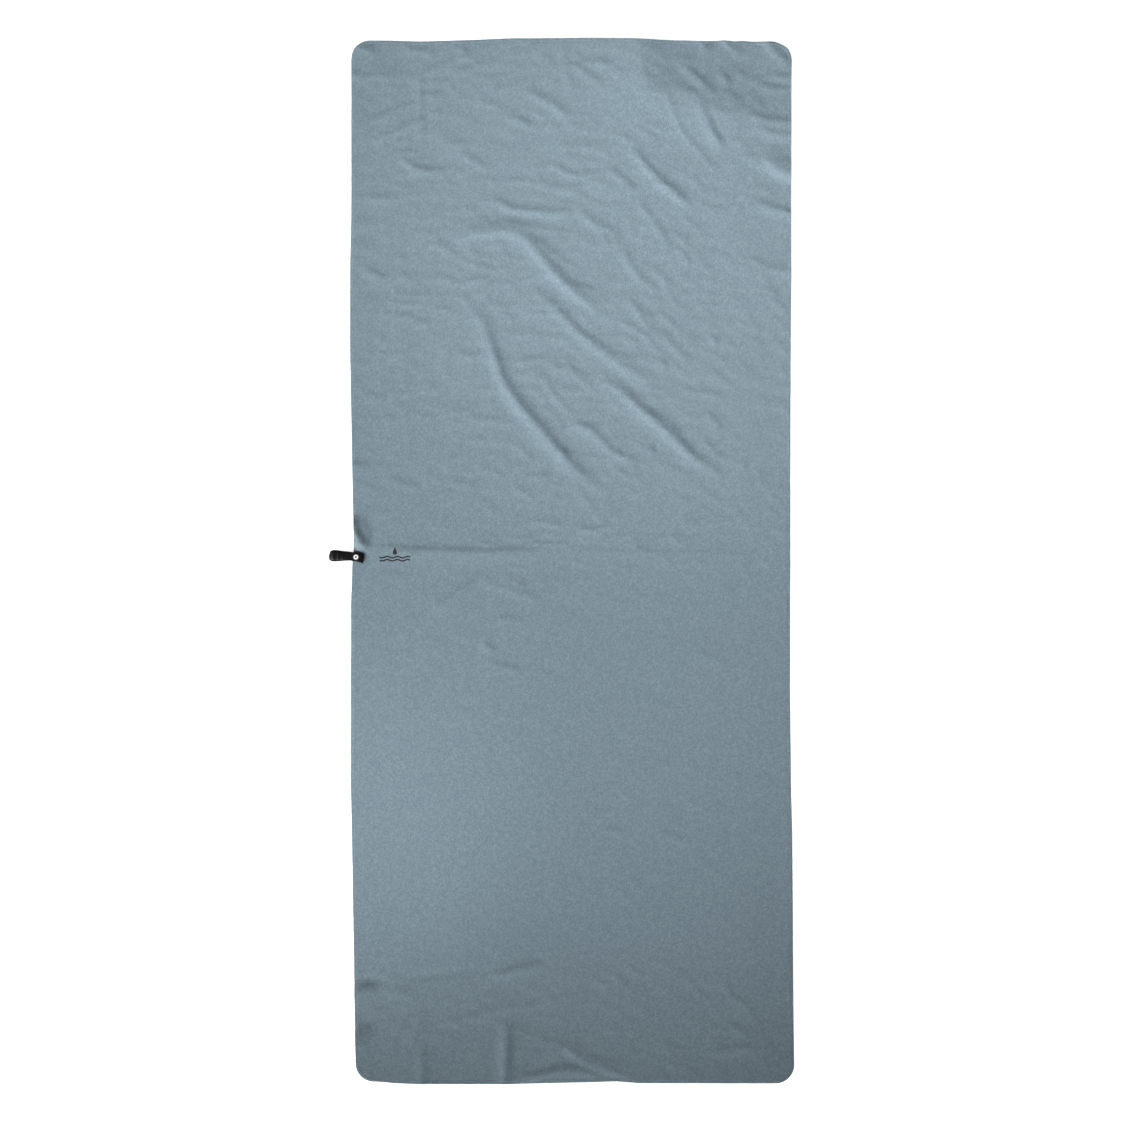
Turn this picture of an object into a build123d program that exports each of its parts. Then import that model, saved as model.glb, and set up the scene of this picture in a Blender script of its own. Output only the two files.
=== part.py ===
from build123d import *

import math
import os

os.makedirs("parts", exist_ok=True)

# A travel towel lying flat, face up, in millimetres.
# X runs across the width, Y along the length and Z up. The origin is the centre of the underside.
# The hanging loop is built in its own frame, with the snap's axis as origin and X along the strap
# towards its cut end, and is then turned and moved to the towel's left edge.

# Towel
TOWEL_WIDTH = 600.0
TOWEL_LENGTH = 1420.0
CORNER_RADIUS = 25.0
CLOTH_THICKNESS = 0.8

# Overlocked edge: the threads squeeze the cloth thinner and lie flush with both of its faces
EDGE_BAND_WIDTH = 4.5
EDGE_WRAP = 0.4
EDGE_THREAD_LAYER = 0.2
NEEDLE_LINE_INSET = 3.6
NEEDLE_LINE_WIDTH = 0.5
NEEDLE_LINE_DEPTH = 0.15

# Loop position
SNAP_X = -294.0
SNAP_Y = 6.0
LOOP_TURN = -5.0

# Webbing strap
STRAP_WIDTH = 12.0
STRAP_THICKNESS = 1.0
FOLD_X = -37.0
FOLD_RADIUS = 4.0
SEWN_END_X = 9.5
FREE_END_X = 11.0
FREE_END_HEIGHT = 3.6
EDGE_STEP_X = -8.0
FLOOR_STEP_X = -17.0
SHOULDER_X = -25.0
SNAP_FLAT_X = 5.0
BEND_RADIUS = 6.0

# Snap, heights from the underside of the towel
RIVET_RADIUS = 1.2
RIVET_BORE = 0.8
RIVET_ROLL_RADIUS = 1.65
RIVET_ROLL = 0.25
POST_FLANGE_RADIUS = 3.6
POST_FLANGE = 0.35
STUD_BASE_RADIUS = 3.4
STUD_SHEET = 0.3
STUD_NECK_RADIUS = 2.05
STUD_LIP_RADIUS = 2.25
STUD_INNER_RADIUS = 1.75
STUD_MOUTH_RADIUS = 1.0
STUD_NECK_TOP = 3.1
STUD_TOP = 3.75
SOCKET_RADIUS = 4.0
SOCKET_SHEET = 0.3
SOCKET_BOTTOM = 2.35
SOCKET_TOP = 4.5
SOCKET_CLEARANCE = 0.1
SPRING_WIRE_RADIUS = 0.16
SPRING_LEG_Y = 2.25
SPRING_LEG_END_X = -2.6
SPRING_BEND_X = 1.1
SPRING_HEIGHT = 2.88
CAP_RADIUS = 3.75
CAP_RIM = 0.25
CAP_SHOULDER_RADIUS = 3.25
CAP_SHOULDER_DROP = 0.06
CAP_CROWN = 0.75
CAP_DIMPLE_RADIUS = 1.4
CAP_DIMPLE = 0.2
CAP_HOLLOW = 0.25

# Stitching that holds the sewn end of the strap
TACK_LEFT_X = 5.6
TACK_RIGHT_X = 8.3
TACK_HALF_WIDTH = 4.5
TACK_THREAD = 0.4
TACK_STITCHES = 5
TACK_LAYER = 0.2

# Printed motif: a water drop over two waves
PRINT_X = -241.0
PRINT_Y = 8.0
PRINT_FILM = 0.05
DROP_RADIUS = 3.0
DROP_TIP = 7.5
WAVE_LENGTH = 14.0
WAVE_COUNT = 3
WAVE_HEIGHT = 2.0
WAVE_LINE = 2.0
WAVE_GAP = 4.2

# Derived heights
STRAP_ON_TOWEL = CLOTH_THICKNESS + STRAP_THICKNESS / 2
STRAP_ON_FLOOR = STRAP_THICKNESS / 2
STRAP_OVER_SNAP = SOCKET_TOP + STRAP_THICKNESS / 2
SEWN_STRAP_TOP = CLOTH_THICKNESS + STRAP_THICKNESS
FREE_STRAP_TOP = SOCKET_TOP + STRAP_THICKNESS
FOLD_CENTRE_X = FOLD_X + STRAP_THICKNESS / 2 + FOLD_RADIUS
FOLD_CENTRE_Z = STRAP_ON_FLOOR + FOLD_RADIUS
FOLD_TOP = FOLD_CENTRE_Z + FOLD_RADIUS


def rounded_plate(inset, bottom, top):
    """The towel's outline, drawn in by inset, as a plate between two heights."""
    outline = RectangleRounded(
        TOWEL_WIDTH - 2 * inset, TOWEL_LENGTH - 2 * inset, CORNER_RADIUS - inset
    )
    return extrude(Pos(0, 0, bottom) * outline, top - bottom)


def turned(points):
    """A solid of revolution about Z from a closed list of (radius, height)."""
    profile = make_face(Polyline(*[(r, 0, z) for r, z in points], close=True))
    return revolve(profile, Axis.Z)


def placed_at_loop(solid):
    """Move a solid from the loop's frame to its place on the towel."""
    return Pos(SNAP_X, SNAP_Y, 0) * Rot(0, 0, LOOP_TURN) * solid


def webbing(leg, fold_start):
    """Webbing along a leg of (x, z) points with eased bends and a quarter turn of the fold."""
    straight = FilletPolyline(*leg, radius=BEND_RADIUS)
    fold = CenterArc((FOLD_CENTRE_X, FOLD_CENTRE_Z), FOLD_RADIUS, fold_start, 90)
    section = trace(straight + fold, STRAP_THICKNESS)
    return extrude(Plane.XZ * section, STRAP_WIDTH / 2, both=True)


def rivet_hole(bottom, top):
    """The hole that a rivet's barrel fills through cloth or webbing."""
    return Pos(0, 0, (bottom + top) / 2) * Cylinder(RIVET_RADIUS, top - bottom)


def needle_thread():
    """The overlock's needle thread, a line of stitches along the inner side of the band."""
    top = CLOTH_THICKNESS
    bottom = top - NEEDLE_LINE_DEPTH
    outer = rounded_plate(NEEDLE_LINE_INSET, bottom, top)
    inner = rounded_plate(NEEDLE_LINE_INSET + NEEDLE_LINE_WIDTH, bottom, top)
    return outer - inner


def bare_cloth():
    """The sheet of cloth, full thickness inside and squeezed thin under the overlock."""
    body = rounded_plate(EDGE_BAND_WIDTH, 0, CLOTH_THICKNESS)
    border = rounded_plate(EDGE_WRAP, EDGE_THREAD_LAYER, CLOTH_THICKNESS - EDGE_THREAD_LAYER)
    return body + border


def looper_thread(cloth, bottom, top):
    """One looper thread, covering its face of the border and half of the raw edge."""
    return rounded_plate(0, bottom, top) - cloth


def tack_thread():
    """A box of stitches through the sewn end of the strap and the towel."""
    length = TACK_RIGHT_X - TACK_LEFT_X
    width = 2 * TACK_HALF_WIDTH
    outer = Rectangle(length + TACK_THREAD, width + TACK_THREAD)
    inner = Rectangle(length - TACK_THREAD, width - TACK_THREAD)
    middle_x = (TACK_LEFT_X + TACK_RIGHT_X) / 2
    upper = extrude(Pos(middle_x, 0, SEWN_STRAP_TOP) * (outer - inner), TACK_LAYER)
    lower = extrude(Pos(middle_x, 0, 0) * (outer - inner), TACK_LAYER)
    thread = upper + lower
    pitch = width / (TACK_STITCHES - 1)
    for x in (TACK_LEFT_X, TACK_RIGHT_X):
        for stitch in range(TACK_STITCHES):
            y = pitch * stitch - TACK_HALF_WIDTH
            post = Box(TACK_THREAD, TACK_THREAD, SEWN_STRAP_TOP)
            thread += Pos(x, y, SEWN_STRAP_TOP / 2) * post
    return thread


def sewn_strap():
    """The lower half of the loop: sewn on the towel, over its edge, along the floor, half of the fold."""
    leg = [
        (SEWN_END_X, STRAP_ON_TOWEL),
        (EDGE_STEP_X, STRAP_ON_TOWEL),
        (FLOOR_STEP_X, STRAP_ON_FLOOR),
        (FOLD_CENTRE_X, STRAP_ON_FLOOR),
    ]
    return webbing(leg, 180) - rivet_hole(0, SEWN_STRAP_TOP)


def free_strap():
    """The upper half of the loop: the other half of the fold, down to the snap and its cut end."""
    leg = [
        (FOLD_CENTRE_X, FOLD_TOP),
        (SHOULDER_X, FOLD_TOP),
        (-SNAP_FLAT_X, STRAP_OVER_SNAP),
        (SNAP_FLAT_X, STRAP_OVER_SNAP),
        (FREE_END_X, FREE_END_HEIGHT),
    ]
    return webbing(leg, 90) - rivet_hole(SOCKET_TOP, FREE_STRAP_TOP)


def snap_post():
    """Tubular rivet: flange under the towel, barrel up through towel and strap, rolled in the stud."""
    roll_bottom = SEWN_STRAP_TOP + STUD_SHEET
    roll_top = roll_bottom + RIVET_ROLL
    return turned(
        [
            (0, 0),
            (POST_FLANGE_RADIUS, 0),
            (POST_FLANGE_RADIUS, POST_FLANGE),
            (RIVET_RADIUS, POST_FLANGE),
            (RIVET_RADIUS, roll_bottom),
            (RIVET_ROLL_RADIUS, roll_bottom),
            (RIVET_ROLL_RADIUS, roll_top),
            (RIVET_BORE, roll_top),
            (RIVET_BORE, POST_FLANGE),
            (0, POST_FLANGE),
        ]
    )


def snap_stud():
    """Pressed stud with a base ring, a neck for the spring and a lip above it."""
    base_top = SEWN_STRAP_TOP + STUD_SHEET
    lip_step = STUD_LIP_RADIUS - STUD_NECK_RADIUS
    return turned(
        [
            (RIVET_RADIUS, SEWN_STRAP_TOP),
            (STUD_BASE_RADIUS, SEWN_STRAP_TOP),
            (STUD_BASE_RADIUS, base_top),
            (STUD_NECK_RADIUS, base_top),
            (STUD_NECK_RADIUS, STUD_NECK_TOP),
            (STUD_LIP_RADIUS, STUD_NECK_TOP + lip_step),
            (STUD_LIP_RADIUS, STUD_TOP - lip_step),
            (STUD_NECK_RADIUS, STUD_TOP),
            (STUD_MOUTH_RADIUS, STUD_TOP),
            (STUD_MOUTH_RADIUS, STUD_TOP - STUD_SHEET),
            (STUD_INNER_RADIUS, STUD_TOP - STUD_SHEET),
            (STUD_INNER_RADIUS, base_top),
            (RIVET_RADIUS, base_top),
        ]
    )


def snap_socket():
    """Shallow cup, open below round the stud and clinched above to the cap's barrel."""
    mouth = STUD_LIP_RADIUS + SOCKET_CLEARANCE
    inner = SOCKET_RADIUS - SOCKET_SHEET
    ceiling = SOCKET_TOP - SOCKET_SHEET
    floor = SOCKET_BOTTOM + SOCKET_SHEET
    return turned(
        [
            (mouth, SOCKET_BOTTOM),
            (SOCKET_RADIUS, SOCKET_BOTTOM),
            (SOCKET_RADIUS, SOCKET_TOP),
            (RIVET_RADIUS, SOCKET_TOP),
            (RIVET_RADIUS, ceiling),
            (inner, ceiling),
            (inner, floor),
            (mouth, floor),
        ]
    )


def snap_spring():
    """Hairpin wire whose two legs lie in the stud's neck, under the lip."""
    z = SPRING_HEIGHT
    upper = Line((SPRING_LEG_END_X, SPRING_LEG_Y, z), (SPRING_BEND_X, SPRING_LEG_Y, z))
    bend = ThreePointArc(
        (SPRING_BEND_X, SPRING_LEG_Y, z),
        (SPRING_BEND_X + SPRING_LEG_Y, 0, z),
        (SPRING_BEND_X, -SPRING_LEG_Y, z),
    )
    lower = Line((SPRING_BEND_X, -SPRING_LEG_Y, z), (SPRING_LEG_END_X, -SPRING_LEG_Y, z))
    path = Wire([upper, bend, lower])
    start = Plane(origin=path @ 0, z_dir=path % 0)
    return sweep(start * Circle(SPRING_WIRE_RADIUS), path=path)


def snap_cap():
    """Low domed cap with a plain dimple in its crown, and the barrel that clinches the socket."""
    top = FREE_STRAP_TOP
    ceiling = SOCKET_TOP - SOCKET_SHEET
    return turned(
        [
            (0, top + CAP_CROWN - CAP_DIMPLE),
            (CAP_DIMPLE_RADIUS - CAP_DIMPLE, top + CAP_CROWN - CAP_DIMPLE),
            (CAP_DIMPLE_RADIUS, top + CAP_CROWN),
            (CAP_SHOULDER_RADIUS, top + CAP_CROWN - CAP_SHOULDER_DROP),
            (CAP_RADIUS, top + CAP_RIM),
            (CAP_RADIUS, top),
            (RIVET_RADIUS, top),
            (RIVET_RADIUS, ceiling),
            (RIVET_ROLL_RADIUS, ceiling),
            (RIVET_ROLL_RADIUS, ceiling - RIVET_ROLL),
            (RIVET_BORE, ceiling - RIVET_ROLL),
            (RIVET_BORE, top + CAP_HOLLOW),
            (0, top + CAP_HOLLOW),
        ]
    )


def water_drop():
    """Outline of a drop: a round belly drawn up to a point along two tangents."""
    opening = math.acos(DROP_RADIUS / DROP_TIP)
    side_x = DROP_RADIUS * math.sin(opening)
    side_y = DROP_RADIUS * math.cos(opening)
    peak = make_face(Polyline((0, 0), (side_x, side_y), (0, DROP_TIP), (-side_x, side_y), close=True))
    return Circle(DROP_RADIUS) + peak


def wave_line():
    """One line of small even waves, from arcs that bow up and down in turn."""
    half_wave = WAVE_LENGTH / 2
    start_x = -WAVE_LENGTH * WAVE_COUNT / 2
    arcs = []
    for bow in range(2 * WAVE_COUNT):
        left = start_x + bow * half_wave
        height = WAVE_HEIGHT / 2 if bow % 2 == 0 else -WAVE_HEIGHT / 2
        arcs.append(
            ThreePointArc((left, 0), (left + half_wave / 2, height), (left + half_wave, 0))
        )
    return trace(arcs, WAVE_LINE)


def print_motif():
    """Ink film on the towel's face: a drop above two lines of waves."""
    shapes = [
        Pos(0, WAVE_GAP) * water_drop(),
        Pos(0, -WAVE_GAP / 2) * wave_line(),
        Pos(0, -WAVE_GAP * 3 / 2) * wave_line(),
    ]
    films = [extrude(Pos(PRINT_X, PRINT_Y, CLOTH_THICKNESS) * s, PRINT_FILM) for s in shapes]
    return Compound(children=films)


def flange_seat():
    """The dent that the post's flange presses into the cloth and the threads under it."""
    return Pos(0, 0, POST_FLANGE / 2) * Cylinder(POST_FLANGE_RADIUS, POST_FLANGE)


def towel_panel(cloth):
    """The cloth with the seat of the post's flange and the holes of the rivet and the tack."""
    cloth -= placed_at_loop(flange_seat())
    cloth -= placed_at_loop(rivet_hole(0, CLOTH_THICKNESS))
    cloth -= placed_at_loop(tack_thread())
    return cloth


cloth = bare_cloth()
needle = needle_thread()
edge_middle = CLOTH_THICKNESS / 2
upper_looper = looper_thread(cloth, edge_middle, CLOTH_THICKNESS) - needle
lower_looper = looper_thread(cloth, 0, edge_middle) - placed_at_loop(flange_seat())

nodes = {
    "towel_panel": towel_panel(cloth),
    "edge_needle_thread": needle,
    "edge_upper_looper_thread": upper_looper,
    "edge_lower_looper_thread": lower_looper,
    "print_motif": print_motif(),
    "loop_strap_sewn": placed_at_loop(sewn_strap() - tack_thread()),
    "loop_tack_thread": placed_at_loop(tack_thread()),
    "snap_post": placed_at_loop(snap_post()),
    "snap_stud": placed_at_loop(snap_stud()),
    "loop_strap_free": placed_at_loop(free_strap()),
    "snap_socket": placed_at_loop(snap_socket()),
    "snap_spring": placed_at_loop(snap_spring()),
    "snap_cap": placed_at_loop(snap_cap()),
}

for name, solid in nodes.items():
    box = solid.bounding_box()
    print(
        f"{name}: {len(solid.solids())} solid, {solid.volume:.2f} mm3, "
        f"x {box.min.X:.2f}..{box.max.X:.2f}, y {box.min.Y:.2f}..{box.max.Y:.2f}, "
        f"z {box.min.Z:.2f}..{box.max.Z:.2f}"
    )
    export_step(solid, f"parts/{name}.step")
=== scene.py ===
"""A quick dry travel towel laid flat and seen from above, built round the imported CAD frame.

The frame's axes: X across the towel, Y along it, Z up, origin under the towel's centre.
Lengths in this file are millimetres unless a name ends in _M, and meshes are stored in metres.
"""

import math
from collections import namedtuple

import bpy
import numpy as np
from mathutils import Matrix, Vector
from mathutils.bvhtree import BVHTree

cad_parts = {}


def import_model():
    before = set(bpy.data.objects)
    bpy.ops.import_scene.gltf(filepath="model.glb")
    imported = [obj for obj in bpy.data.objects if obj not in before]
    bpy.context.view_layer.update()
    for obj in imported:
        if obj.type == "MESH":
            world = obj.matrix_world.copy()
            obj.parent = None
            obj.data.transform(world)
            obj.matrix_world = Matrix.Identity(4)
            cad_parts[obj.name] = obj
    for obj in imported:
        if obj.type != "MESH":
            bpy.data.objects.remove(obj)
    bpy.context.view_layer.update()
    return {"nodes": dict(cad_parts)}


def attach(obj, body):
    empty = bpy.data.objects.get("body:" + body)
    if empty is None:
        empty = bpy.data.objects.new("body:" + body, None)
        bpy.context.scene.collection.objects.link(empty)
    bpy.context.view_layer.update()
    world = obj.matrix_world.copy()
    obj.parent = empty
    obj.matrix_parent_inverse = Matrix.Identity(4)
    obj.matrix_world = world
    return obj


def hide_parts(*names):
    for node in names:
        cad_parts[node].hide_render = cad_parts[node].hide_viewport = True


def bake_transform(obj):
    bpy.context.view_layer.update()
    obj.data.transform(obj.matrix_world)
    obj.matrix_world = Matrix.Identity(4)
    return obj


METRE = 0.001

# Towel outline, the same as the CAD panel
HALF_WIDTH = 300.0
HALF_LENGTH = 710.0
CORNER_RADIUS = 25.0
CLOTH_BOTTOM = 0.06
CLOTH_TOP = 0.8
GRID_SPACING = 3.5
# Between these Y, beside the loop, the rows of the mesh are closer together
LOOP_ROWS = (-15.0, 62.0)
LOOP_ROW_SPACING = 1.75
CORNER_STEPS = 10
# Insets from the outline of the mesh's rings round the border
TOP_RINGS = [0.0, 0.9, 2.2, 3.6, 4.6, 6.6, 9.6, 13.0, 17.0, 21.0]
BOTTOM_RINGS = [0.0, 4.6, 13.0]

# Overlocked edge
STITCH_PITCH = 3.0
BAND_WIDTH = 4.2
BORDER_SQUEEZE = 0.2
EDGE_THREAD_RADIUS = 0.28
EDGE_THREAD_SIDES = 5

# Loop frame: the snap's axis, and the turn of the strap on the towel
SNAP_X = -294.0
SNAP_Y = 6.0
LOOP_TURN = math.radians(-5.0)
STRAP_WIDTH = 12.0
STRAP_THICKNESS = 0.86
RIB_PITCH = 1.15
RIB_HEIGHT = 0.07
STRAP_CURL = 0.7
STRAP_STEP = 0.25
# The strap's fold
FOLD_X = -32.5
FOLD_Z = 4.5
FOLD_RADIUS = 4.0
FOLD_SLANT = 1.2
FOLD_PINCH = 2.4
FOLD_WIDENING = 0.9
# Creases across the strap's free leg, in the loop frame: (middle, height, width)
STRAP_CREASES = [
    (-30.6, 0.6, 1.3), (-23.6, 0.65, 1.3), (-19.6, 0.4, 0.8), (-17.3, 0.4, 0.8), (-13.0, 0.3, 0.8),
]

# Tack stitches on the strap's sewn end, in the loop frame
TACK_LEFT = 5.6
TACK_RIGHT = 8.3
TACK_HALF = 4.5
TACK_STITCH = 2.25
TACK_THREAD_RADIUS = 0.22
TACK_THREAD_SIDES = 6
# The stitches over the strap and those under the towel: (height, how far each bows)
TACK_LAYERS = [(1.86, 0.14), (0.14, -0.1)]

# Print: a drop over two wave lines
PRINT_X = -241.0
PRINT_Y = 8.0
DROP_RADIUS = 3.0
DROP_TIP = 7.5
WAVE_GAP = 4.2
WAVE_LENGTH = 14.0
WAVE_REACH = 21.0
WAVE_STROKE = 2.0
INK_FILM = 0.07
INK_CELLS = 6

# The dot of enamel in the snap's cap
ENAMEL_RADIUS = 1.15
ENAMEL_LOW = 6.0
ENAMEL_HIGH = 6.2

# The floor and the wall round it
STAGE_REACH = 16000.0
FLOOR_LEVEL = -0.2

# Camera and lights, with angles in degrees and power in watts
CAMERA_PLACE_M = (-0.013, -0.0007, 4.262)
LENS_MM = 100
SENSOR_MM = 36
VIEW_DEPTH_M = 50
# The key light is a broad window at the lower left, made of lamps at these (azimuth, elevation)
KEY_WINDOW = [(225, 18), (195, 29), (255, 29), (225, 48)]
KEY_DISTANCE_M = 6.0
KEY_AIM_M = (0.295, 0.375)
KEY_HALF_ANGLE = 11.8
KEY_WATTS = 550
KEY_SIZE_M = 0.3
FILL_AZIMUTH = 225
FILL_ELEVATION = 65
FILL_DISTANCE_M = 4.0
FILL_SIZE_M = 0.1
UPPER_FILL_AIM_M = (0.25, 0.74)
UPPER_FILL_HALF_ANGLE = 12.4
UPPER_FILL_WATTS = 220
LEFT_FILL_AIM_M = (-0.32, -0.39)
LEFT_FILL_HALF_ANGLE = 4.2
LEFT_FILL_WATTS = 161
PANEL_PLACE_M = (-0.59, 0, 4.5)
PANEL_SIZE_M = 0.9
PANEL_WATTS = 3.4
WORLD_LIGHT = 0.03
FLOOR_GLOW = 0.92

# The strap's sewn end lies flat on flat cloth: its footprint in the loop frame
FOOTPRINT_LOW = (-8.0, -6.3)
FOOTPRINT_HIGH = (9.8, 6.3)
FOOTPRINT_MARGIN = 5.0

# How far the towel's real edges wander from the straight CAD outline: (place along the edge, offset)
LEFT_WANDER = [
    (-710, 6.0), (-620, 4.6), (-530, 3.0), (-450, 1.7), (-370, 0.4), (-310, -1.0), (-60, -0.8),
    (-12, 0.7), (0, 1.1), (12, 2.7), (32, 3.3), (84, 1.7), (120, 1.0), (230, -1.0), (300, -2.2),
    (400, -2.0), (470, -0.4), (710, -0.3),
]
RIGHT_WANDER = [
    (-710, 3.8), (-600, 2.4), (-450, 1.6), (-370, 1.0), (-320, -0.5), (-175, -2.2), (0, -1.7),
    (200, -1.7), (400, -0.6), (500, -1.2), (640, -1.0), (710, 0.0),
]
TOP_WANDER = [
    (-300, 0.5), (-250, 0.4), (-205, -1.0), (-150, 0.5), (-108, 2.0), (-80, 3.0), (28, 3.0),
    (80, 1.8), (110, 0.4), (140, -1.0), (220, -1.0), (260, -2.2), (300, -2.4),
]
BOTTOM_WANDER = [
    (-300, 0.0), (-272, 0.6), (-245, -1.8), (-215, -3.0), (-108, -3.0), (-55, -2.0), (15, -0.6),
    (55, 0.8), (90, -1.8), (275, -2.0), (300, -1.5),
]
# The top edge also ripples, from this X to its right corner
RIPPLE_START_X = 140
RIPPLE_EASE_IN = 40
RIPPLE_HEIGHT = 0.9
RIPPLE_LENGTH = 13
RIPPLE_DEPTH = 12

# A fold is a soft ridge along a line of (x, y) points. Its near side faces the lower left, where the
# key light comes from, so lines run from left to right or from top to bottom.
# Sharpness is the power that shapes the sides: near 1 for a crisp crest, 2 for a round one.
Fold = namedtuple("Fold", "line height near far sharpness", defaults=[1.7])

LONG_FOLDS = [
    Fold([(-190, 437), (-142, 444), (-110, 449), (-84, 449), (-62, 438), (-32, 402), (-2, 371),
          (30, 345), (64, 318)],
         3.6, 7, 12),
    Fold([(-75, 392), (-46, 367), (-22, 345), (10, 313), (42, 287), (74, 264), (104, 250), (141, 242)],
         2.1, 8, 6),
    Fold([(40, 252), (62, 236), (88, 214), (127, 180), (164, 145), (190, 128), (215, 120)], 3.4, 8, 7),
    Fold([(-150, 366), (-122, 326), (-106, 282), (-92, 245), (-69, 211), (-42, 180), (-20, 153),
          (-2, 134), (16, 117), (36, 100), (58, 82)], 3.5, 9, 8),
    Fold([(0, 112), (20, 84), (38, 60), (58, 36)], 0.8, 7, 6),
    Fold([(-4, 198), (14, 184), (30, 174), (57, 148), (88, 137)], 2.2, 6, 6),
    Fold([(-14, 288), (-2, 266), (14, 247), (32, 230), (50, 220)], 0.9, 5, 5),
    Fold([(-42, 252), (-28, 232), (-12, 212), (-2, 200)], 1.0, 4, 6),
]
UPPER_FOLDS = [
    Fold([(-128, 494), (-100, 489), (-79, 480), (-52, 477), (-20, 475), (8, 476)], 2.6, 5, 5),
    Fold([(-112, 464), (-84, 462), (-56, 456), (-28, 449)], 1.3, 5, 4),
    Fold([(-72, 644), (-52, 635), (-32, 624), (-12, 611), (2, 600)], 1.7, 4, 7),
    Fold([(74, 568), (90, 552), (112, 529), (131, 510), (155, 489), (175, 474)], 2.9, 7, 6),
    Fold([(48, 540), (62, 527), (76, 515), (90, 500)], 1.6, 6, 5),
    Fold([(72, 508), (94, 486), (114, 459), (130, 434), (144, 410)], 1.3, 6, 5),
    Fold([(60, 426), (76, 409), (92, 387), (104, 370)], 1.7, 5, 6),
    Fold([(2, 484), (20, 470), (36, 454), (50, 434), (58, 422)], 1.4, 5, 5),
    Fold([(-48, 440), (-24, 420), (-4, 406), (20, 400)], 1.0, 4, 4),
    Fold([(76, 364), (92, 338), (110, 308)], 1.0, 5, 4),
    Fold([(116, 320), (140, 292), (166, 264)], 1.0, 5, 4),
    Fold([(142, 238), (176, 230), (214, 225)], 1.0, 5, 4),
    Fold([(-320, 583), (-280, 598), (-240, 613), (-200, 630)], 1.1, 4, 6),
    Fold([(-276, 571), (-246, 582), (-216, 596), (-192, 606)], 1.7, 4, 6),
    Fold([(-222, 652), (-190, 668), (-150, 686), (-116, 700)], 1.3, 4, 6),
    Fold([(-170, 660), (-140, 671), (-104, 678), (-84, 680)], 1.1, 4, 6),
    Fold([(-207, 680), (-206, 640), (-205, 600), (-205, 560)], 1.0, 7, 5),
    Fold([(-12, 712), (-8, 680), (-2, 650), (4, 620)], 0.8, 6, 5),
    Fold([(-8, 680), (14, 669), (30, 658), (46, 646)], 1.5, 6, 5),
    Fold([(-160, 562), (-142, 551), (-122, 540), (-108, 532)], 1.5, 5, 5),
    Fold([(-240, 556), (-226, 545), (-206, 534), (-194, 527)], 1.5, 5, 5),
    Fold([(-330, 494), (-270, 497), (-225, 500), (-170, 501)], 0.9, 6, 4),
    Fold([(-100, 520), (-60, 517), (-20, 508), (12, 500), (40, 488)], 1.2, 5, 4),
    Fold([(-264, 335), (-235, 332), (-211, 338)], 0.8, 6, 5),
]
CORNER_FOLDS = [
    Fold([(76, 900), (93, 720), (99, 662), (114, 642), (150, 632), (190, 618), (235, 604), (500, 570)],
         11.0, 150, 150, 1.2),
    Fold([(90, 800), (95, 712), (99, 664), (114, 643), (150, 632), (190, 618), (235, 604), (300, 596)],
         3.6, 34, 60, 1.3),
    Fold([(140, 684), (156, 671), (170, 658), (186, 643), (202, 630)], 1.9, 6, 5),
    Fold([(98, 704), (116, 692), (138, 678)], 0.8, 6, 7),
    Fold([(122, 652), (146, 644), (170, 632), (194, 612)], 1.0, 6, 5),
    Fold([(166, 634), (180, 610), (190, 590), (204, 566), (212, 552)], 2.1, 8, 4),
    Fold([(118, 668), (132, 628), (150, 586), (182, 548), (204, 524), (216, 510)], 1.1, 4, 4),
    Fold([(146, 664), (166, 683), (186, 700), (200, 712)], 1.2, 5, 5),
    Fold([(162, 724), (180, 702), (192, 688)], 1.6, 5, 5),
    Fold([(200, 716), (216, 700), (234, 684)], 1.4, 5, 5),
    Fold([(254, 730), (268, 705), (282, 689), (306, 672)], 2.4, 6, 7),
    Fold([(198, 646), (214, 636), (232, 626)], 1.0, 4, 4),
    Fold([(236, 626), (252, 606), (274, 600), (330, 597)], 1.8, 6, 5),
    Fold([(30, 672), (60, 667), (104, 660), (136, 648)], 0.6, 4, 3),
]
EDGE_PUCKERS = [
    Fold([(262, 662), (290, 660), (330, 658)], 1.4, 5, 4),
    Fold([(244, 652), (274, 645), (330, 640)], 1.6, 5, 4),
    Fold([(252, 558), (268, 544), (284, 532), (304, 526), (335, 522)], 4.8, 8, 18),
    Fold([(246, 594), (270, 584), (296, 577), (325, 574)], 1.2, 5, 6),
    Fold([(240, 494), (268, 483), (298, 474), (335, 466)], 2.5, 7, 6),
    Fold([(256, 402), (290, 396), (330, 390)], 1.8, 7, 5),
    Fold([(-330, 667), (-290, 663), (-250, 660), (-216, 657)], 1.2, 5, 4),
    Fold([(-330, 458), (-296, 456), (-270, 454)], 1.0, 5, 4),
    Fold([(-330, 272), (-296, 270), (-270, 268)], 1.0, 5, 4),
    Fold([(-330, 136), (-300, 132), (-270, 124)], 1.5, 7, 5),
    Fold([(-307, 66), (-301, 52), (-296, 39), (-288, 25), (-279, 11)], 6.4, 8, 10),
    Fold([(-290, 62), (-281, 46), (-273, 30)], 1.2, 4, 4),
    Fold([(-368, -704), (-334, -680), (-307, -660), (-288, -646), (-266, -629)], 5.5, 12, 10),
    Fold([(-364, -626), (-334, -609), (-306, -596), (-284, -585), (-260, -575)], 5.0, 13, 8),
    Fold([(-330, 708), (-300, 703), (-276, 697), (-258, 692)], 2.3, 6, 6),
]
PACKING_CREASE = [
    Fold([(-300, 21), (-268, 19), (-200, 15), (-120, 13), (-60, 14), (-10, 14)], 1.9, 15, 5),
    Fold([(-60, 16), (60, 13), (180, 10), (256, 8), (300, 5)], 0.45, 15, 4),
]
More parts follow.
